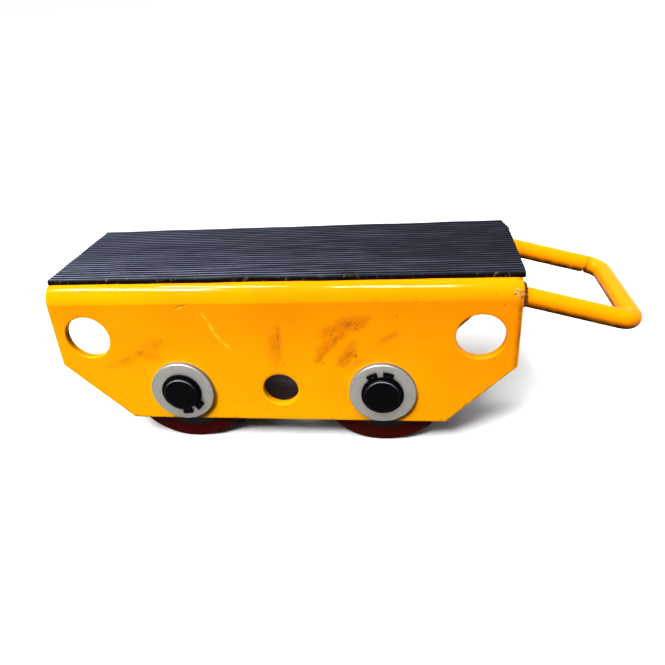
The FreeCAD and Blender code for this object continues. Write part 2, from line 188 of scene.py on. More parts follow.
def surface(name, grids, sharp_degrees=35):
    """One mesh from grids of places in millimetres, each with flags for joining its last row to its first
    and its last column to its first. Four neighbours make a face. Points that coincide are merged, so that
    seams and poles close, and the faces are turned outwards. A fourth value at each place is kept as a mask
    that the materials use for dirt, rubbing, painted shade and painted highlights."""
    places, faces, start = [], [], 0
    for points, rows_join, columns_join in grids:
        index = start + np.arange(points.shape[0] * points.shape[1]).reshape(points.shape[:2])
        start += index.size
        if rows_join:
            index = np.concatenate([index, index[:1]])
        if columns_join:
            index = np.concatenate([index, index[:, :1]], axis=1)
        quads = np.stack([index[:-1, :-1], index[1:, :-1], index[1:, 1:], index[:-1, 1:]], -1)
        places.append(points.reshape(-1, points.shape[-1]))
        faces.append(quads.reshape(-1, 4))
    places = np.concatenate(places)
    mesh = bpy.data.meshes.new(name)
    mesh.from_pydata((places[:, :3] * 0.001).tolist(), [], np.concatenate(faces).tolist())
    if places.shape[1] == 4:
        mesh.attributes.new("wear_and_painted_light", "FLOAT", "POINT").data.foreach_set("value", places[:, 3])
    shell = bmesh.new()
    shell.from_mesh(mesh)
    bmesh.ops.remove_doubles(shell, verts=shell.verts[:], dist=2e-6)
    bmesh.ops.recalc_face_normals(shell, faces=shell.faces[:])
    shell.to_mesh(mesh)
    shell.free()
    mesh.shade_smooth()
    mesh.set_sharp_from_angle(angle=radians(sharp_degrees))
    piece = bpy.data.objects.new(name, mesh)
    scene.collection.objects.link(piece)
    return piece


rear_edge, rear_normals = rear_outline()
front_edge = mirrored(rear_edge)
front_normals = (rear_normals * (-1, 1))[::-1]
cell_ends = (rear + end_cell, middle - link_cell, middle + link_cell, front - end_cell)
foot_runs = [run((a, foot + edge_round), (b, foot + edge_round)) for a, b in zip(cell_ends, cell_ends[1:])]
crease_runs = [run((b, crease), (a, crease)) for a, b in zip(cell_ends, cell_ends[1:])]
upright = [run((x, foot + edge_round), (x, crease)) for x in cell_ends]
downright = [run((x, crease), (x, foot + edge_round)) for x in cell_ends]
end_loop = np.concatenate([rear_edge, upright[0], run((cell_ends[0], crease), (rear + edge_round, crease))])
loops = [end_loop]
for index in range(3):
    sides = (downright[index], foot_runs[index], upright[index + 1], crease_runs[index])
    loops.append(np.concatenate(sides))
loops.append(mirrored(end_loop))
holes = [(rear + end_hole[0], *end_hole[1:]), axle_hole, link_hole]
holes += [(2 * middle - axle_hole[0], *axle_hole[1:]), (front - end_hole[0], *end_hole[1:])]

grids = []
for hand in (-1, 1):
    grids += [around_hole(loop, hole, hand) for loop, hole in zip(loops, holes)]
top_x = np.unique(np.concatenate([loop[np.isclose(loop[:, 1], crease), 0] for loop in loops]).round(6))
leans = np.interp(top_x, (middle, front), (rear_lean, front_lean))
sections = np.array([fold_section(lean)[0] for lean in leans])
section_depth = fold_section(rear_lean)[1]
for skin in (0.0, plate):
    strip = sections + section_depth * skin
    x = np.broadcast_to(top_x[:, None, None], (*strip.shape[:2], 1))
    grids.append((np.concatenate([x, strip, end_darkening_at(x)], -1), False, False))

# Lip: the rounded cut edge all round the plate, down both sides and over both ends of the deck.
outline = np.concatenate([rear_edge, *foot_runs, front_edge, [(front - edge_round, crease)]])
foot_normals = np.tile([0.0, -1.0], (sum(map(len, foot_runs)), 1))
outline_out = np.concatenate([rear_normals, foot_normals, front_normals, [(1.0, 0.0)]])
bend = np.linspace(0, pi / 2, 4)
lip_out = edge_round * np.concatenate([np.sin(bend), np.sin(bend[::-1])])
lip_depth = np.concatenate([edge_round * (1 - np.cos(bend)), plate - edge_round * (1 - np.cos(bend[::-1]))])
round_side = np.stack([outline[:, 0], 0 * outline[:, 0] - side, outline[:, 1]], 1)
round_out = np.stack([outline_out[:, 0], 0 * outline_out[:, 0], outline_out[:, 1]], 1)
over_front = np.concatenate([np.full((len(section_depth), 1), front - edge_round), sections[-1]], 1)
into_side = np.tile([0.0, 1.0, 0.0], (len(outline), 1))
into_top = np.concatenate([np.zeros((len(section_depth), 1)), section_depth], 1)
flip_y = np.array([1.0, -1.0, 1.0])
over_rear = np.concatenate([np.full((len(section_depth), 1), rear + edge_round), sections[0]], 1)
ahead = np.tile([1.0, 0.0, 0.0], (len(section_depth) - 2, 1))
lip = np.concatenate([round_side, over_front[1:-1], (round_side * flip_y)[::-1], over_rear[-2:0:-1]])
lip_outward = np.concatenate([round_out, ahead, round_out[::-1], -ahead])
lip_inward = np.concatenate([into_side, into_top[1:-1], (into_side * flip_y)[::-1], into_top[-2:0:-1]])
lip = lip[:, None] + lip_outward[:, None] * lip_out[:, None] + lip_inward[:, None] * lip_depth[:, None]
lip_wear = np.broadcast_to(lip_grime * (lip_out > edge_round / 2)[:, None], (*lip.shape[:2], 1))
grids.append((np.concatenate([lip, lip_wear], -1), True, False))
frame_channel = surface("folded_channel", grids)

# The creases are marked sharp, so that each shows as a line.
vertices, edges = frame_channel.data.vertices, frame_channel.data.edges
place = np.empty(3 * len(vertices))
vertices.foreach_get("co", place)
place = place.reshape(-1, 3) * 1000
ends = np.empty(2 * len(edges), int)
edges.foreach_get("vertices", ends)
sharp = np.empty(len(edges), bool)
edges.foreach_get("use_edge_sharp", sharp)
on_crease = np.isclose(np.abs(place[:, 1]), side, atol=hair) & np.isclose(place[:, 2], crease, atol=hair)
edges.foreach_set("use_edge_sharp", sharp | on_crease[ends.reshape(-1, 2)].all(axis=1))


def linear(hex_colour):
    """An sRGB hex colour as linear red, green, blue and a full alpha."""
    value = np.array([int(hex_colour[i:i + 2], 16) for i in (1, 3, 5)]) / 255
    value = np.where(value <= 0.04045, value / 12.92, ((value + 0.055) / 1.055) ** 2.4)
    return (*value.tolist(), 1.0)


def add(tree, kind, inputs, **settings):
    """Adds one shader node, with its settings, and sets or links the inputs that are given."""
    made = tree.nodes.new("ShaderNode" + kind)
    for name, value in settings.items():
        setattr(made, name, value)
    for socket, value in inputs.items():
        if isinstance(value, bpy.types.NodeSocket):
            tree.links.new(value, made.inputs[socket])
        else:
            made.inputs[socket].default_value = value
    return made


def new_material(name):
    """A node material, its tree, its shader and its Object coordinates."""
    material = bpy.data.materials.new(name)
    material.use_nodes = True
    tree = material.node_tree
    place = add(tree, "TexCoord", {}).outputs["Object"]
    return material, tree, tree.nodes["Principled BSDF"], place


def fasten(piece, material, body, slot, *nodes):
    """Gives a piece its finish and its body, and hides the CAD nodes it stands for. The slot argument is
    not used.
    """
    piece.data.materials.append(material)
    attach(piece, body)
    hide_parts(*nodes)


# Sprayed yellow enamel over steel: a glossy coat with slight orange peel, so that highlights stay thin but
# tremble. It is yellower at the lower left, browned on the cut edges and the front end, and handling has
# left brown smears, light scrapes, dark specks and a few chips on the right side. The same brown is painted
# as shade on the walls of the holes, on the creases, under the handle's bar and in the notch of its pinch.
enamel, tree, shader, place = new_material("sprayed yellow enamel")
mark_depth = 6.0


def marks(tree, place, table):
    """Mask of marks on the right side plate. Each is an ellipse that fades from its middle to its
    edge, given by x from the frame's middle, z above the shafts, half length, half width, lean in
    degrees and depth. Where they overlap the deepest counts."""
    mask = 0.0
    for x, z, length, width, lean, depth in table:
        local = add(tree, "Mapping", {
            "Vector": place, "Location": ((middle + x) / 1000, -side / 1000, (axle_z + z) / 1000),
            "Rotation": (0, radians(-lean), 0), "Scale": (length / 1000, mark_depth / 1000, width / 1000),
        }, vector_type="TEXTURE")
        spread = add(tree, "TexGradient", {"Vector": local.outputs[0]}, gradient_type="SPHERICAL")
        spread = add(tree, "Math", {0: spread.outputs["Fac"], 1: depth}, operation="MULTIPLY")
        mask = add(tree, "Math", {0: mask, 1: spread.outputs[0]}, operation="MAXIMUM").outputs[0]
    return mask


def blend(tree, factor, first, second):
    """Mix of two colours."""
    return add(tree, "Mix", {0: factor, 6: first, 7: second}, data_type="RGBA").outputs[2]


smears = (
    (38.2, 40.0, 15.0, 6.0, 22, 0.8), (44.5, 41.3, 8.5, 5.5, 30, 0.8), (30.7, 37.5, 10.0, 4.5, 25, 0.7),
    (32.6, 31.3, 8.0, 2.4, 40, 0.85), (24.9, 23.5, 10.0, 1.6, 55, 1.0), (26.7, 28.0, 15.0, 4.5, 52, 0.4),
    (37.6, 21.3, 9.5, 4.2, 48, 1.0), (39.6, 27.0, 7.0, 3.0, 52, 0.5), (1.5, 32.1, 12.0, 2.0, 88, 0.75),
    (-0.2, 27.1, 17.0, 5.5, 90, 0.35), (59.6, 32.9, 9.0, 2.6, 33, 0.4), (-87.7, 18.2, 16.0, 4.0, 22, 0.22),
    (-77.0, 23.2, 6.0, 3.0, 10, 0.42), (-72.8, 22.4, 10.0, 5.0, -10, 0.22),
    (-67.8, 28.6, 13.0, 6.5, 17, 0.22), (43.6, 18.0, 6.0, 2.5, 40, 0.3),
)
scrapes = (
    (-36.9, 45.5, 4.6, 1.4, -59, 1.0), (-34.2, 39.4, 5.2, 1.5, -73, 1.0), (-31.5, 33.6, 4.6, 1.4, -53, 1.0),
    (-27.3, 28.5, 5.0, 1.4, -49, 1.0), (-49.5, 51.1, 6.5, 0.8, 21, 1.0), (4.6, 17.3, 1.4, 0.9, 20, 1.0),
)
specks = (
    (53.8, 55.2, 0.7, 0.7, 0, 1.0), (63.9, 45.5, 0.8, 0.8, 0, 0.8), (73.4, 54.6, 0.6, 0.6, 0, 0.8),
    (111.7, 56.4, 0.8, 0.8, 0, 1.0), (115.9, 50.9, 0.9, 0.8, 30, 1.0), (35.9, 35.2, 1.3, 1.0, 60, 0.8),
    (42.8, 38.2, 1.4, 0.8, 40, 0.7), (42.2, 21.8, 2.2, 1.2, 55, 0.9), (24.4, 17.2, 2.2, 0.7, 5, 0.8),
    (3.7, 16.5, 1.0, 0.7, 0, 1.0), (-48.7, 52.2, 6.5, 0.8, 21, 0.9), (1.4, 33.6, 2.0, 0.8, 88, 0.8),
    (2.0, 38.7, 1.2, 0.9, 88, 0.6), (32.1, -16.2, 0.7, 0.7, 0, 0.8), (-77.3, 23.8, 1.6, 0.9, 20, 0.7),
    (-63.8, 31.6, 1.3, 0.6, 10, 0.7), (-85.6, 19.8, 1.6, 0.7, 20, 0.6), (7.7, -11.8, 0.6, 0.6, 0, 0.7),
    (-98.3, 14.9, 2.2, 0.8, 15, 0.45), (30.3, 34.5, 1.1, 0.9, 0, 0.8),
)
chips = (
    (120.8, 56.8, 1.5, 1.0, 20, 1.0), (123.3, 55.9, 1.3, 0.8, -20, 1.0), (121.9, 58.3, 0.9, 0.7, 0, 1.0),
)

# Yellow turns to orange on a slant from the lower left up, with a cloudy border.
cloud = add(tree, "TexNoise", {"Vector": place, "Scale": 1 / 0.045, "Detail": 3.0}).outputs["Fac"]
slant = add(tree, "Mapping", {
    "Vector": place, "Location": ((middle - 25) / 1000, 0, axle_z / 1000), "Rotation": (0, radians(-78), 0),
    "Scale": (0.085, 1.0, 1.0),
}, vector_type="TEXTURE")
slant = add(tree, "SeparateXYZ", {"Vector": slant.outputs[0]}).outputs["X"]
slant = add(tree, "Math", {0: slant, 1: cloud}, operation="ADD").outputs[0]
slant = add(tree, "MapRange", {"Value": slant, "From Min": 0.35, "From Max": 1.3}).outputs[0]
colour = blend(tree, slant, linear("#FFAC00"), linear("#FF8E00"))

# Coordinates shaken finely give small marks ragged edges, and shaken coarsely they fray the smears.
shake = add(tree, "TexNoise", {"Vector": place, "Scale": 1 / 0.0012, "Detail": 3.0}).outputs["Color"]
shake = add(tree, "VectorMath", {0: shake, 1: (0.5, 0.5, 0.5)}, operation="SUBTRACT").outputs[0]
ragged = add(tree, "VectorMath", {0: shake, 1: (0.0022, 0.0, 0.0022), 2: place}, operation="MULTIPLY_ADD")
ragged = ragged.outputs[0]
frayed = add(tree, "TexNoise", {"Vector": place, "Scale": 1 / 0.006, "Detail": 4.0}).outputs["Color"]
frayed = add(tree, "VectorMath", {0: frayed, 1: (0.5, 0.5, 0.5)}, operation="SUBTRACT").outputs[0]
frayed = add(tree, "VectorMath", {0: frayed, 1: (0.005, 0.0, 0.005), 2: place}, operation="MULTIPLY_ADD")
frayed = frayed.outputs[0]
# Smears: a brown film, with darker grit in streaks along the stroke that left it.
stroke = add(tree, "Mapping", {"Vector": place, "Rotation": (0, radians(48), 0)}, vector_type="POINT")
stroke = add(tree, "Mapping", {"Vector": stroke.outputs[0], "Scale": (0.15, 1.0, 1.0)}, vector_type="POINT")
streaks = add(tree, "TexNoise", {
    "Vector": stroke.outputs[0], "Scale": 1 / 0.0008, "Detail": 5.0, "Roughness": 0.75,
}).outputs["Fac"]
streaks = add(tree, "MapRange", {"Value": streaks, "From Min": 0.42, "From Max": 0.6, "To Min": 0.2})
mottle = add(tree, "TexNoise", {"Vector": place, "Scale": 1 / 0.002, "Detail": 3.0}).outputs["Fac"]
mottle = add(tree, "MapRange", {"Value": mottle, "From Min": 0.4, "From Max": 0.6, "To Min": 0.7})
patches = marks(tree, frayed, smears)
film = add(tree, "Math", {0: patches, 1: mottle.outputs[0]}, operation="MULTIPLY").outputs[0]
film = add(tree, "MapRange", {"Value": film, "From Min": 0.02, "From Max": 0.26, "To Max": 0.66}).outputs[0]
colour = blend(tree, film, colour, linear("#DA7606"))
grit = add(tree, "Math", {0: patches, 1: streaks.outputs[0]}, operation="MULTIPLY").outputs[0]
grit = add(tree, "MapRange", {"Value": grit, "From Min": 0.26, "From Max": 0.8, "To Max": 0.85}).outputs[0]
colour = blend(tree, grit, colour, linear("#98480E"))
# Scrapes are paler than the coat, specks are brown pits, and chips show the steel.
scrape = marks(tree, ragged, scrapes)
scrape = add(tree, "MapRange", {"Value": scrape, "From Min": 0.2, "From Max": 0.6, "To Max": 0.7})
colour = blend(tree, scrape.outputs[0], colour, linear("#FFC828"))
speck = marks(tree, ragged, specks)
speck = add(tree, "MapRange", {"Value": speck, "From Min": 0.15, "From Max": 0.75, "To Max": 0.8})
speck = speck.outputs[0]
colour = blend(tree, speck, colour, linear("#8A3A0C"))
bare = marks(tree, ragged, chips)
bare = add(tree, "MapRange", {"Value": bare, "From Min": 0.2, "From Max": 0.4}).outputs[0]
grain = add(tree, "TexNoise", {"Vector": place, "Scale": 1 / 0.0009, "Detail": 2.0}).outputs["Fac"]
grain = add(tree, "MapRange", {"Value": grain, "From Min": 0.4, "From Max": 0.6}).outputs[0]
bare_steel = blend(tree, grain, linear("#3A342C"), linear("#CFC3A6"))
colour = blend(tree, bare, colour, bare_steel)
# Grime, wear and painted shade from the mesh, broken up by flecks. Peel and pits make the bump, and the
# smears and the same mask dull the coat.
flecks = add(tree, "TexNoise", {"Vector": place, "Scale": 1 / 0.004, "Detail": 4.0}).outputs["Fac"]
flecks = add(tree, "MapRange", {"Value": flecks, "From Min": 0.42, "From Max": 0.6, "To Min": 0.7})
flecks = flecks.outputs[0]
painted_light_and_wear = add(tree, "Attribute", {}, attribute_name="wear_and_painted_light").outputs["Fac"]
painted_light_and_wear = add(tree, "Math", {0: painted_light_and_wear, 1: flecks}, operation="MULTIPLY").outputs[0]
colour = blend(tree, painted_light_and_wear, colour, linear("#6A3A06"))
tree.links.new(colour, shader.inputs["Base Color"])
peel = add(tree, "TexNoise", {"Vector": place, "Scale": 1 / 0.0025, "Detail": 2.0}).outputs["Fac"]
peel = add(tree, "Math", {0: peel, 1: speck}, operation="SUBTRACT").outputs[0]
bump = add(tree, "Bump", {"Height": peel, "Strength": 0.08, "Distance": 0.0001})
tree.links.new(bump.outputs[0], shader.inputs["Normal"])
dulled = add(tree, "Math", {0: film, 1: 0.3}, operation="MULTIPLY").outputs[0]
dulled = add(tree, "Math", {0: dulled, 1: painted_light_and_wear}, operation="MAXIMUM").outputs[0]
gloss = add(tree, "MapRange", {"Value": dulled, "To Min": 0.07, "To Max": 0.8}).outputs[0]
tree.links.new(gloss, shader.inputs["Roughness"])
shader.inputs["Specular IOR Level"].default_value = 0.025
fasten(frame_channel, enamel, "frame", "yellow_enamel", "frame_channel")


# Loop handle: a 10 mm round bar, bent to a loop that slopes down and out of the front end. Its two
# tails lie flat in the channel's upper corners. The bend on the left has a pinched, welded crease.
bar, bar_gap = 5.0, 0.1
leg_y, tail_z = side - plate - bar_gap - bar, deck - plate - bar_gap - bar
slope, leg_reach = radians(15.3), 58.0
knee_x, tail_length, knee_radius, corner_radius = front - 2.5, 20.0, 20.0, 7.5
knee_steps, corner_steps, leg_steps = 12, 28, 90
#     painted shade on the bar's flanks, its growth towards the underside, and the most there is
flank_shade, under_shade, most_shade = 0.1, 1.7, 1.2
#     pinch and rough weld by the left corner: place along the bar from the corner's start, width, height,
#         and for the pinch the painted shade in its notch
pinch_place, pinch_width, pinch_depth, pinch_shade = -1.2, 0.8, 1.6, 0.4
weld_place, weld_width, weld_dip, weld_lump = 1.5, 2.2, 0.12, 0.06


def rounded(corner, back, ahead, radius, count):
    """Arc that rounds a corner between two directions away from it: one spoke of its circle turned
    into the other."""
    turn = pi - np.arccos(np.dot(back, ahead))
    halfway = (back + ahead) / np.linalg.norm(back + ahead)
    centre = corner + halfway * radius / cos(turn / 2)
    first = corner + back * radius * tan(turn / 2) - centre
    last = corner + ahead * radius * tan(turn / 2) - centre
    share = np.linspace(0, 1, count)[:, None]
    return centre + (np.sin((1 - share) * turn) * first + np.sin(share * turn) * last) / sin(turn)


def handle_path():
    """Centre line from the left tail's end to the right one's, and its tilt out of level: straight
    tail, knee, leg, corner and half the crossbar, then the mirror image of these."""
    along = np.array([cos(slope), 0, -sin(slope)])
    knee = np.array([knee_x, leg_y, tail_z])
    corner = knee + along * (leg_reach + (front - knee_x) / cos(slope))
    knee_arc = rounded(knee, np.array([-1.0, 0, 0]), along, knee_radius, knee_steps)
    corner_arc = rounded(corner, -along, np.array([0, -1.0, 0]), corner_radius, corner_steps)
    share = np.linspace(0, 1, leg_steps, endpoint=False)[1:, None]
    parts = [
        knee_arc[:1] - np.array([tail_length - knee_radius * tan(slope / 2), 0, 0]),
        knee_arc,
        knee_arc[-1] + (corner_arc[0] - knee_arc[-1]) * share,
        corner_arc,
        corner_arc[-1] * (1 - share) + corner_arc[-1] * (1, 0, 1) * share,
    ]
    half = np.concatenate(parts)
    beyond_knee = np.full(len(half) - knee_steps - 1, slope)
    tilt = np.concatenate([np.zeros(1), np.linspace(0, slope, knee_steps), beyond_knee])
    centre = (corner_arc[-1] * (1, 0, 1))[None]
    path = np.concatenate([half, centre, (half * flip_y)[::-1]])
    return path, np.concatenate([tilt, [slope], tilt[::-1]])


def bar_along(path, tilt, radius, path_shade):
    """Round bar: circles of the given radii square to the path, the first axis lying across the bar and the
    second one standing up from it. Its ends close in a point at the middle. Painted shade grows towards the
    underside, and more painted shade is added to it along the path."""
    ahead = np.gradient(path, axis=0)
    ahead /= np.linalg.norm(ahead, axis=1)[:, None]
    up = np.stack([np.sin(tilt), 0 * tilt, np.cos(tilt)], 1)
    across = np.cross(up, ahead)
    angle = np.linspace(0, 2 * pi, radius.shape[1], endpoint=False)
    ring = across[:, None] * np.cos(angle)[:, None] + up[:, None] * np.sin(angle)[:, None]
    shape = path[:, None] + ring * radius[..., None]
    ends = np.broadcast_to(path[[0, -1]][:, None], (2, *shape.shape[1:]))
    shape = np.concatenate([ends[:1], shape, ends[1:]])
    darkening = np.clip(flank_shade - under_shade * np.sin(angle), 0, most_shade)
    darkening = darkening + np.concatenate([[0], path_shade, [0]])[:, None]
    return np.concatenate([shape, darkening[..., None]], -1), False, True


loop_path, loop_tilt = handle_path()
travel = np.concatenate([[0], np.cumsum(np.linalg.norm(np.diff(loop_path, axis=0), axis=1))])
left_corner = travel[np.argmax(loop_path[:, 0] > loop_path[:, 0].max() - corner_radius)]
pinch = np.exp(-((travel - left_corner - pinch_place) / pinch_width) ** 2)
rough_weld = np.exp(-((travel - left_corner - weld_place) / weld_width) ** 2)
around = np.linspace(0, 2 * pi, 48, endpoint=False)
below = 0.5 - 0.5 * np.sin(around)
lumps = np.random.default_rng(3).uniform(-weld_dip, weld_lump, (len(travel), len(around)))
bar_radius = bar - pinch_depth * pinch[:, None] * below + rough_weld[:, None] * lumps
tow_handle = surface("loop_handle", [bar_along(loop_path, loop_tilt, bar_radius, pinch_shade * pinch)])
fasten(tow_handle, enamel, "frame", "yellow_enamel", "tow_handle")


# Handle welds: a rippled bead laid round the outer half of each leg against the plate's end, and a
# seam along the underside of each tail inside the channel. Painted over with the frame.
bead_radius, bead_ripple, ripple_height = 1.6, 1.7, 0.1
#   ends of the round bead in degrees from level, its reach past the plate and past the bar
bead_from, bead_to, past_plate, past_bar = -50, 135, 0.9, 0.6
#   ends of the seam behind the front end, its place out from and below the bar's middle
seam_rear, seam_front, seam_out, seam_drop = 21.5, 5.0, 3.9, 4.0


def bead(path, out, up):
    """Weld bead: a circle carried along a path, its radius swelling in even ripples and closing to
    nothing at both ends."""
    run_length = np.concatenate([[0], np.cumsum(np.linalg.norm(np.diff(path, axis=0), axis=1))])
    share = run_length / run_length[-1]
    taper = (1 - (2 * share - 1) ** 6) ** 0.5
    radius = bead_radius * taper * (1 + ripple_height * np.sin(2 * pi * run_length / bead_ripple))
    angle = np.linspace(0, 2 * pi, 16, endpoint=False)[:, None]
    ring = out[:, None] * np.cos(angle) + up[:, None] * np.sin(angle)
    return path[:, None] + ring * radius[:, None, None], False, True


beads = []
for hand in (-1, 1):
    angle = np.radians(np.linspace(bead_from, bead_to, 140))
    spoke = np.stack([0 * angle, hand * np.cos(angle), np.sin(angle)], 1)
    root = np.array([front + past_plate, hand * leg_y, tail_z - (front - knee_x) * tan(slope)])
    beads.append(bead(root + spoke * (bar + past_bar), spoke, np.tile([1.0, 0, 0], (len(angle), 1))))
    x = np.linspace(front - seam_rear, front - seam_front, 90)
    seam = np.stack([x, 0 * x + hand * (leg_y + seam_out), 0 * x + tail_z - seam_drop], 1)
    beads.append(bead(seam, np.tile([0, 1.0, 0], (len(x), 1)), np.tile([0, 0, 1.0], (len(x), 1))))
handle_welds = surface("welded_beads", beads)

# Enamel over a weld: a mottled dark brown.
weld_enamel, tree, shader, place = new_material("mottled dark brown enamel over weld")
darkening = add(tree, "TexNoise", {"Vector": place, "Scale": 1 / 0.0018, "Detail": 4.0}).outputs["Fac"]
darkening = add(tree, "MapRange", {"Value": darkening, "From Min": 0.3, "From Max": 0.62}).outputs[0]
colour = blend(tree, darkening, linear("#945406"), linear("#351B05"))
tree.links.new(colour, shader.inputs["Base Color"])
shader.inputs["Roughness"].default_value = 0.4
shader.inputs["Specular IOR Level"].default_value = 0.06
fasten(handle_welds, weld_enamel, "frame", "yellow_enamel", "handle_welds")


# Deck mat: 3 mm rubber matting with fine ribs along the skate, cut by hand and glued on the deck.
# It lies slightly askew and shifted to the left, its edges wander, its front end overhangs and one
# corner is torn.
mat_low, mat_high = corners_of("deck_mat")
mat_half, mat_top = mat_high[1], mat_high[2]
rib_pitch, rib_depth, rib_count = 3.0, 1.0, 26
edge_band, mat_sag = 3.0, 0.12
#   overhang in front, depth of the tear there, the share of the width where it starts, its width
front_overhang, tear_depth, tear_start, tear_width = 1.3, 2.6, 0.84, 0.16
#   how far the rear end lies in at the right side, and how much more at the left
rear_set_in, rear_skew = 0.3, 2.7
end_reach = 12
random = np.random.default_rng(7)
#   y of the right and left edge at the rear end and at the front end
mat_edges = ((-37.8, 40.4), (-37.0, 41.4))


def wander(x, wavelength, size):
    """Smooth random wave along x: the sum of three sines of about the given wavelength."""
    waves = wavelength * np.array([1.0, 0.61, 0.37])
    phases = random.uniform(0, 2 * pi, 3)
    return size * np.sin(2 * pi * x[..., None] / waves + phases) @ np.array([0.5, 0.3, 0.2])


def mat_grid():
    """Rib section carried along the skate. Ribs are flat on top with rounded shoulders and sloping sides. A
    fourth value is up to 2 on the shoulders that face the right side, where the material paints glints, 0.6
    to 0.3 across the rest of the tops, and 0 on the left shoulders, in the grooves and on the cut edges,
    where it paints black shade. The margin at each edge is pressed thin. Rows bend to the wandering edges,
    and both ends are closed down to the deck."""
    flank = np.array([-1.5, -1.1, -0.98, -0.88, -0.78, -0.68, -0.5, 0, 0.5, 0.68, 0.78, 0.88, 0.98, 1.1])
    height = np.array([0, 0, 0.4, 0.7, 0.88, 0.97, 1.0, 1.0, 1.0, 0.97, 0.88, 0.7, 0.4, 0])
    rib_shade_and_glint = np.array([0, 0, 0, 0, 1.6, 2.0, 1.7, 0.6, 0.3, 0, 0, 0, 0, 0])
    middles = (np.arange(rib_count) - (rib_count - 1) / 2) * rib_pitch
    y = (middles[:, None] + flank).ravel()
    inner = np.abs(y) < middles[-1] + 0.6
    y, h, shade_and_glint = y[inner], np.tile(height, rib_count)[inner], np.tile(rib_shade_and_glint, rib_count)[inner]
    edge = np.array([mat_half - 0.5, mat_half - 0.1, mat_half, mat_half])
    edge_z = np.array([-0.45, -0.75, -1.0, mat_low[2] - mat_top])
    edge_shade = np.array([0.3, 0, 0, 0])
    y = np.concatenate([-edge[::-1], y, edge])
    z = np.concatenate([edge_z[::-1], (h - 1) * rib_depth, edge_z])
    shade_and_glint = np.concatenate([edge_shade[::-1], shade_and_glint, edge_shade])
    share = np.linspace(0, 1, 170)[:, None]
    x = rear + (front - rear) * share
    (rear_right, rear_left), (front_right, front_left) = mat_edges
    right = rear_right + (front_right - rear_right) * share
    left = rear_left + (front_left - rear_left) * share
    across = (y + mat_half) / (2 * mat_half)
    outer = np.clip((np.abs(y) - mat_half + edge_band) / edge_band, 0, 1)
    right_wave = wander(x, wavelength=90, size=0.35)
    left_wave = wander(x, wavelength=110, size=0.6)
    drift = np.where(y < 0, right_wave, left_wave) * outer
    drift = drift + wander(x, wavelength=70, size=0.15) * (1 - outer)
    tear = tear_depth * np.clip((across - tear_start) / tear_width, 0, 1)
    overhang = front_overhang - tear + wander(y, wavelength=14, size=0.2)
    set_in = rear_set_in + rear_skew * across + wander(y, wavelength=30, size=0.2)
    along = x + share ** end_reach * overhang + (1 - share) ** end_reach * set_in
    sag = mat_sag + wander(x, wavelength=60, size=mat_sag) + 0 * y
    off_the_deck = z > -2
    rise = mat_top + z - sag * off_the_deck
    shade_and_glint = np.broadcast_to(shade_and_glint, along.shape)
    points = np.stack([along, right + (left - right) * across + drift, rise, shade_and_glint], -1)
    closed = points[[0, -1]] * (1, 1, 0, 0) + (0, 0, mat_low[2], 0)
    return np.concatenate([closed[:1], points, closed[1:]]), False, True


deck_mat = surface("ribbed_mat", [mat_grid()], sharp_degrees=50)

# Ribbed black rubber: matt, with a blue tint that is painted sheen from the sky, and worn paler in streaks
# on the rib tops. Painted sheen also makes the tops paler towards the rear, painted glints lie on the
# shoulders that face the right side, and painted shade makes the grooves and the cut edges black. Pale dust
# lies on it, and tan grit along one edge.
rubber, tree, shader, place = new_material("ribbed black rubber")
drawn_out = add(tree, "Mapping", {"Vector": place, "Scale": (0.06, 1.0, 1.0)}).outputs[0]
streak = add(tree, "TexNoise", {"Vector": drawn_out, "Scale": 1 / 0.0018, "Detail": 4.0}).outputs["Fac"]
spot = add(tree, "SeparateXYZ", {"Vector": place}).outputs
# Painted sheen: the rib tops turn paler towards the rear end.
ahead = add(tree, "MapRange", {
    "Value": spot["X"], "From Min": rear / 1000, "From Max": front / 1000, "To Min": -0.2, "To Max": 0.3,
}).outputs[0]
shade = add(tree, "Math", {0: streak, 1: ahead}, operation="ADD").outputs[0]
shade = add(tree, "MapRange", {"Value": shade, "From Min": 0.25, "From Max": 0.85}).outputs[0]
top = blend(tree, shade, linear("#1A1F2D"), linear("#080A11"))
shade_and_glint = add(tree, "Attribute", {}, attribute_name="wear_and_painted_light").outputs["Fac"]
# Painted shade: black where the mesh value falls to 0.
colour = blend(tree, shade_and_glint, linear("#010102"), top)
# Painted glints on the shoulders that face the right side, strongest at the rear and nearer the right edge.
painted_light_and_wear = add(tree, "MapRange", {"Value": shade_and_glint, "From Min": 1.1, "From Max": 1.8}).outputs[0]
paler = add(tree, "MapRange", {"Value": shade, "From Max": 0.8, "To Min": 0.8, "To Max": 0.18}).outputs[0]
nearer = add(tree, "MapRange", {
    "Value": spot["Y"], "From Min": -0.037, "From Max": 0.0, "To Min": 1.0, "To Max": 0.4,
}).outputs[0]
paler = add(tree, "Math", {0: paler, 1: nearer}, operation="MULTIPLY").outputs[0]
painted_light_and_wear = add(tree, "Math", {0: painted_light_and_wear, 1: paler}, operation="MULTIPLY").outputs[0]
colour = blend(tree, painted_light_and_wear, colour, linear("#949AB6"))
dust = add(tree, "TexNoise", {"Vector": place, "Scale": 1 / 0.0012, "Detail": 2.0}).outputs["Fac"]
dust = add(tree, "MapRange", {"Value": dust, "From Min": 0.74, "From Max": 0.82, "To Max": 0.5}).outputs[0]
colour = blend(tree, dust, colour, linear("#7D786C"))
near_edge = add(tree, "MapRange", {
    "Value": spot["Y"], "From Min": -0.0385, "From Max": -0.034, "To Min": 1.0, "To Max": 0.0,
}).outputs[0]
tan_grit = add(tree, "TexNoise", {"Vector": place, "Scale": 1 / 0.003, "Detail": 5.0, "Roughness": 0.75})
tan_grit = tan_grit.outputs["Fac"]
tan_grit = add(tree, "MapRange", {"Value": tan_grit, "From Min": 0.58, "From Max": 0.66, "To Max": 0.5})
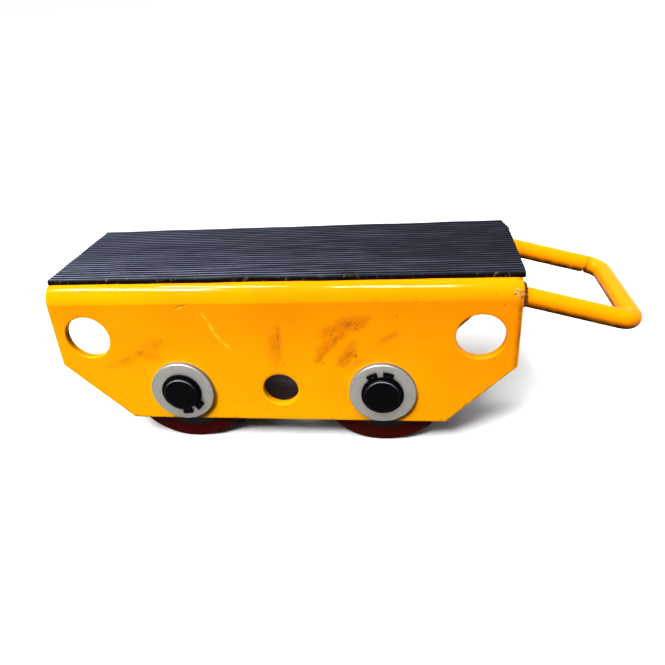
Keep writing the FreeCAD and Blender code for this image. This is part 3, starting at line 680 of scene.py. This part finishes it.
tan_grit = add(tree, "Math", {0: tan_grit.outputs[0], 1: near_edge}, operation="MULTIPLY").outputs[0]
colour = blend(tree, tan_grit, colour, linear("#8C7A58"))
tree.links.new(colour, shader.inputs["Base Color"])
shader.inputs["Roughness"].default_value = 0.6
shader.inputs["Specular IOR Level"].default_value = 0.015
fasten(deck_mat, rubber, "frame", "mat_rubber", "deck_mat")


# Axle shafts: 20 mm bright bar, turned with a circlip groove and a chamfer at each end, then
# blackened and oiled. They lie in the plates' holes.
axle_x = {"front": middle + axle_reach, "rear": middle - axle_reach}
hands = {"right": -1, "left": 1}
shaft, shaft_end, shaft_chamfer, rim_highlight_band = 10.0, 51.0, 0.8, 0.2
groove, groove_start, groove_end = 9.5, 48.1, 49.4


def turned(profile, x, joins=True, count=144):
    """A profile of radius and y, spun about a shaft's line."""
    angle = np.linspace(0, 2 * pi, count, endpoint=False)[:, None]
    radius, y = np.array(profile, float).T
    spun = np.stack([x + radius * np.cos(angle), y + 0 * angle, axle_z + radius * np.sin(angle)], -1)
    return spun, True, joins


# Black oxide on steel: nearly black with a faint oily sheen, and a painted grey highlight along the upper
# part of each end's rim.
black_oxide, tree, shader, place = new_material("oiled black oxide")
oil = add(tree, "TexNoise", {"Vector": place, "Scale": 1 / 0.003, "Detail": 4.0})
colour = blend(tree, oil.outputs["Fac"], linear("#010102"), linear("#050609"))
painted_light_and_wear = add(tree, "Attribute", {}, attribute_name="wear_and_painted_light").outputs["Fac"]
colour = blend(tree, painted_light_and_wear, colour, linear("#9395A0"))
tree.links.new(colour, shader.inputs["Base Color"])
gloss = add(tree, "MapRange", {"Value": oil.outputs["Fac"], "To Min": 0.28, "To Max": 0.5})
tree.links.new(gloss.outputs[0], shader.inputs["Roughness"])
shader.inputs["Specular IOR Level"].default_value = 0.012

for axle, x in axle_x.items():
    half = [
        (shaft, groove_start), (groove, groove_start), (groove, groove_end), (shaft, groove_end),
        (shaft, shaft_end - shaft_chamfer),
        (shaft - shaft_chamfer / 2, shaft_end - shaft_chamfer / 2), (shaft - shaft_chamfer, shaft_end),
        (shaft - shaft_chamfer - rim_highlight_band, shaft_end), (0, shaft_end),
    ]
    profile = np.array([(radius, -y) for radius, y in half[::-1]] + half)
    spun, *joins = turned(profile, x, joins=False)
    angle = np.linspace(0, 2 * pi, len(spun), endpoint=False)
    # Painted highlight: grey on the top of each end's rim, fading away towards its sides.
    highlit_top = np.clip(np.sin(angle), 0, 1) ** 3
    end_rim_highlight = highlit_top[:, None] * np.isclose(profile[:, 0], shaft - shaft_chamfer)
    spun = np.concatenate([spun, end_rim_highlight[..., None]], -1)
    axle_shaft = surface(axle + "_shaft", [(spun, *joins)])
    fasten(axle_shaft, black_oxide, axle + "_axle", "black_oxide_steel", axle + "_axle_shaft")


# Sleeves, spacers and wheel cores: turned steel tubes. The sleeve keeps the two bearings apart, the
# short spacers keep them off the plates, and the core carries the tread and seats the bearings.

# Oiled turned steel: dark with a dull sheen and rings from the lathe, drawn coarser than they are to show.
turned_steel, tree, shader, place = new_material("oiled turned steel")
tool = add(tree, "Mapping", {"Vector": place, "Scale": (0.05, 1.0, 0.05)})
lathe = add(tree, "TexNoise", {"Vector": tool.outputs[0], "Scale": 1 / 0.0009, "Detail": 3.0})
colour = blend(tree, lathe.outputs["Fac"], linear("#090A0C"), linear("#111214"))
tree.links.new(colour, shader.inputs["Base Color"])
gloss = add(tree, "MapRange", {"Value": lathe.outputs["Fac"], "To Min": 0.3, "To Max": 0.5})
tree.links.new(gloss.outputs[0], shader.inputs["Roughness"])
shader.inputs["Metallic"].default_value = 1.0
for axle in axle_x:
    for name in ("bearing_sleeve", "wheel_core", "right_side_spacer", "left_side_spacer"):
        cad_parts[axle + "_" + name].data.materials[0] = turned_steel


# Ball bearings: ground steel rings and balls, a moulded nylon cage and two rubber seals each.
# They are pressed into the core's ends and slid on the shaft.

# Ground bearing steel: bright and smooth, with a slight haze.
ground_steel, tree, shader, place = new_material("ground bearing steel")
haze = add(tree, "TexNoise", {"Vector": place, "Scale": 1 / 0.002, "Detail": 2.0})
colour = blend(tree, haze.outputs["Fac"], linear("#C2C2C0"), linear("#D2D2D1"))
tree.links.new(colour, shader.inputs["Base Color"])
shader.inputs["Metallic"].default_value = 1.0
shader.inputs["Roughness"].default_value = 0.18

# Natural nylon: cream and satin, a little cloudy as it came from the mould.
nylon, tree, shader, place = new_material("moulded natural nylon")
haze = add(tree, "TexNoise", {"Vector": place, "Scale": 1 / 0.004, "Detail": 2.0})
colour = blend(tree, haze.outputs["Fac"], linear("#C4B58F"), linear("#B3A37C"))
tree.links.new(colour, shader.inputs["Base Color"])
shader.inputs["Roughness"].default_value = 0.45
shader.inputs["IOR"].default_value = 1.53

# Seal rubber: dark grey and matt.
seal_rubber, tree, shader, place = new_material("moulded seal rubber")
haze = add(tree, "TexNoise", {"Vector": place, "Scale": 1 / 0.003, "Detail": 3.0})
colour = blend(tree, haze.outputs["Fac"], linear("#17171A"), linear("#26262A"))
tree.links.new(colour, shader.inputs["Base Color"])
shader.inputs["Roughness"].default_value = 0.55

for axle in axle_x:
    for hand in hands:
        for name, finish in (
            ("bearing_inner_ring", ground_steel), ("bearing_outer_ring", ground_steel),
            ("bearing_balls", ground_steel), ("bearing_cage", nylon), ("bearing_seals", seal_rubber),
        ):
            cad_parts["_".join((axle, hand, name))].data.materials[0] = finish


# Treads: red polyurethane, cast on the cores and turned to size, with rounded edges.
# The running face is scuffed and carries grit from the floor.
tread_radius, tread_inner, tread_half, tread_edge = axle_z, axle_z - 9.0, 39.0, 1.5

# Cast polyurethane: red, drawn much darker than its own colour as painted shade, with a satin face, faintly
# cloudy, and specked with dark grit.
polyurethane, tree, shader, place = new_material("cast red polyurethane")
cloud = add(tree, "TexNoise", {"Vector": place, "Scale": 1 / 0.02, "Detail": 4.0})
colour = blend(tree, cloud.outputs["Fac"], linear("#3C0502"), linear("#300301"))
grit = add(tree, "TexNoise", {"Vector": place, "Scale": 1 / 0.0015, "Detail": 3.0}).outputs["Fac"]
grit = add(tree, "MapRange", {"Value": grit, "From Min": 0.6, "From Max": 0.75, "To Max": 0.5})
colour = blend(tree, grit.outputs[0], colour, linear("#160302"))
tree.links.new(colour, shader.inputs["Base Color"])
shader.inputs["Roughness"].default_value = 0.5
shader.inputs["Specular IOR Level"].default_value = 0.03

for axle, x in axle_x.items():
    angle = np.linspace(0, pi / 2, 9)
    rim = np.stack([
        tread_radius - tread_edge * (1 - np.sin(angle)), tread_half - tread_edge * (1 - np.cos(angle)),
    ], 1)
    profile = np.concatenate([
        [(tread_inner, -tread_half)], rim * (1, -1), rim[::-1], [(tread_inner, tread_half)],
    ])
    tread = surface(axle + "_tread", [turned(profile, x)])
    fasten(tread, polyurethane, axle + "_wheel", "tread_polyurethane", axle + "_wheel_tread")


# Washers: punched from 3 mm strip and zinc plated. The punch has rolled the outer edge over on one side and
# torn the rest of it, which is drawn darker, partly as its own dull colour and partly as painted shade. The
# dull plating is speckled.

# Dull zinc plate: a grey, half metallic sheen with a bloom and small dark pits.
zinc, tree, shader, place = new_material("dull zinc plate")
speckle = add(tree, "TexNoise", {"Vector": place, "Scale": 1 / 0.0011, "Detail": 3.0})
bloom = add(tree, "TexNoise", {"Vector": place, "Scale": 1 / 0.008, "Detail": 3.0})
colour = blend(tree, bloom.outputs["Fac"], linear("#7B7A76"), linear("#6F6E6A"))
pit = speckle.outputs["Fac"]
pit = add(tree, "MapRange", {"Value": pit, "From Min": 0.58, "From Max": 0.7, "To Max": 0.6}).outputs[0]
colour = blend(tree, pit, colour, linear("#55544F"))
# The outer rim is darker: partly the torn edge's dull colour, partly painted shade.
dark_rim_mask = add(tree, "Attribute", {}, attribute_name="wear_and_painted_light").outputs["Fac"]
colour = blend(tree, dark_rim_mask, colour, linear("#5A5957"))
tree.links.new(colour, shader.inputs["Base Color"])
shader.inputs["Metallic"].default_value = 0.7
shader.inputs["Roughness"].default_value = 0.5

washer_inner, washer_outer, washer_low, washer_high = 10.5, 18.0, side + 0.1, side + 3.1
rolled_edge, back_edge, bore_edge, dark_rim_band = 0.6, 0.15, 0.2, 0.2
for axle, x in axle_x.items():
    for hand, sign in hands.items():
        angle = np.linspace(0, pi / 2, 6)
        inward, back = rolled_edge * (1 - np.sin(angle)), rolled_edge * (1 - np.cos(angle))
        rolled = np.stack([washer_outer - inward, washer_high - back])
        profile = np.concatenate([
            [(washer_inner, washer_low), (washer_outer - back_edge, washer_low)],
            [(washer_outer, washer_low + back_edge)],
            rolled.T[::-1],
            [(washer_inner + bore_edge, washer_high), (washer_inner, washer_high - bore_edge)],
        ])
        spun, *joins = turned(profile * (1, sign), x)
        outermost = profile[:, 0] > washer_outer - dark_rim_band
        dark_rim = np.broadcast_to(outermost[:, None], (*spun.shape[:2], 1))
        spun = np.concatenate([spun, dark_rim], -1)
        washer = surface("_".join((axle, hand, "punched_washer")), [(spun, *joins)])
        fasten(washer, zinc, axle + "_axle", "zinc_steel", "_".join((axle, hand, "washer")))


# Circlips: stamped from spring steel and blackened, snapped into the shaft's grooves outside the
# washers. Each has two drilled lugs for the pliers.
for axle in axle_x:
    for hand in hands:
        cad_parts["_".join((axle, hand, "circlip"))].data.materials[0] = black_oxide


# Floor and light: a pale floor under a white sky, a soft main light, one from above and a weak one from
# high behind, and a level one from behind, which lights the left side and passes over the floor. Three
# strips overhead draw thin highlights along the folds. Only the upper part of the sky lights the skate,
# as a ceiling does. To bounced light the floor is a dark grey, like workshop concrete.
floor_half, strip_height = 40, 1.5
floor_mesh = bpy.data.meshes.new("floor")
floor_corners = [(-1, -1), (1, -1), (1, 1), (-1, 1)]
floor_mesh.from_pydata([(x * floor_half, y * floor_half, 0) for x, y in floor_corners], [], [(0, 1, 2, 3)])
floor = bpy.data.objects.new("floor", floor_mesh)
scene.collection.objects.link(floor)


def looked_at(tree):
    """1 for rays that show a surface to the eye, directly or through gloss or glass, and else 0."""
    path = add(tree, "LightPath", {}).outputs
    seen = add(tree, "Math", {0: path["Is Camera Ray"], 1: path["Is Glossy Ray"]}, operation="MAXIMUM")
    seen = seen.outputs[0]
    return add(tree, "Math", {0: seen, 1: path["Is Transmission Ray"]}, operation="MAXIMUM").outputs[0]


pale_floor, tree, shader, place = new_material("pale painted floor")
colour = blend(tree, looked_at(tree), linear("#222222"), linear("#EEEEEE"))
tree.links.new(colour, shader.inputs["Base Color"])
shader.inputs["Roughness"].default_value = 1.0
shader.inputs["Specular IOR Level"].default_value = 0.0
floor_mesh.materials.append(pale_floor)

sky = bpy.data.worlds.new("white sky")
sky.use_nodes = True
scene.world = sky
tree = sky.node_tree
rise = add(tree, "SeparateXYZ", {"Vector": add(tree, "TexCoord", {}).outputs["Generated"]}).outputs["Z"]
ceiling = add(tree, "MapRange", {"Value": rise, "From Min": 0.45, "From Max": 1.0}).outputs[0]
level = add(tree, "Mix", {0: looked_at(tree), 2: ceiling, 3: 1.0}).outputs[0]
tree.nodes["Background"].inputs["Color"].default_value = (1.0, 1.0, 1.0, 1.0)
tree.links.new(level, tree.nodes["Background"].inputs["Strength"])


def soft_sun(name, towards, strength, spread_degrees):
    """Even light from one direction, as from a large softbox far off. Towards points at the light.
    It leaves no highlight of its own."""
    light = bpy.data.lights.new(name, "SUN")
    light.energy = strength
    light.angle = radians(spread_degrees)
    lamp = bpy.data.objects.new(name, light)
    direction = np.array(towards) / np.linalg.norm(towards)
    across = np.cross((0.0, 1.0, 0.0), direction)
    across /= np.linalg.norm(across)
    axes = np.stack([across, np.cross(direction, across), direction], 1)
    lamp.matrix_world = Matrix(axes.tolist()).to_4x4()
    lamp.visible_glossy = False
    scene.collection.objects.link(lamp)


def strip_light(name, start, end, width, radiance):
    """Rectangle under the ceiling that faces straight down, from one end's x and y to the other's.
    It shows in gloss alone."""
    start, end = np.array(start), np.array(end)
    light = bpy.data.lights.new(name, "AREA")
    light.shape = "RECTANGLE"
    light.size = np.linalg.norm(end - start)
    light.size_y = width
    light.energy = pi * radiance * light.size * width
    lamp = bpy.data.objects.new(name, light)
    lamp.location = (*((start + end) / 2), strip_height)
    lamp.rotation_euler = (0, 0, np.arctan2(*(end - start)[::-1]))
    lamp.visible_diffuse = False
    scene.collection.objects.link(lamp)


soft_sun("main light", (-0.25, -0.62, 0.8), 3.1, 16)
soft_sun("top light", (-0.25, -0.4, 0.88), 3.2, 44)
soft_sun("back light", (0.1, 0.35, 0.93), 0.7, 30)
soft_sun("fill light", (-0.3, 0.95, 0.01), 1.6, 1.5)
strip_light("strip over the rear", (-0.96, -0.27), (-0.58, -0.84), 0.13, 840)
strip_light("strip over the middle", (-0.65, 0.06), (-0.33, -0.36), 0.07, 760)
strip_light("strip over the front", (-0.17, -0.54), (0.17, -0.64), 0.13, 840)
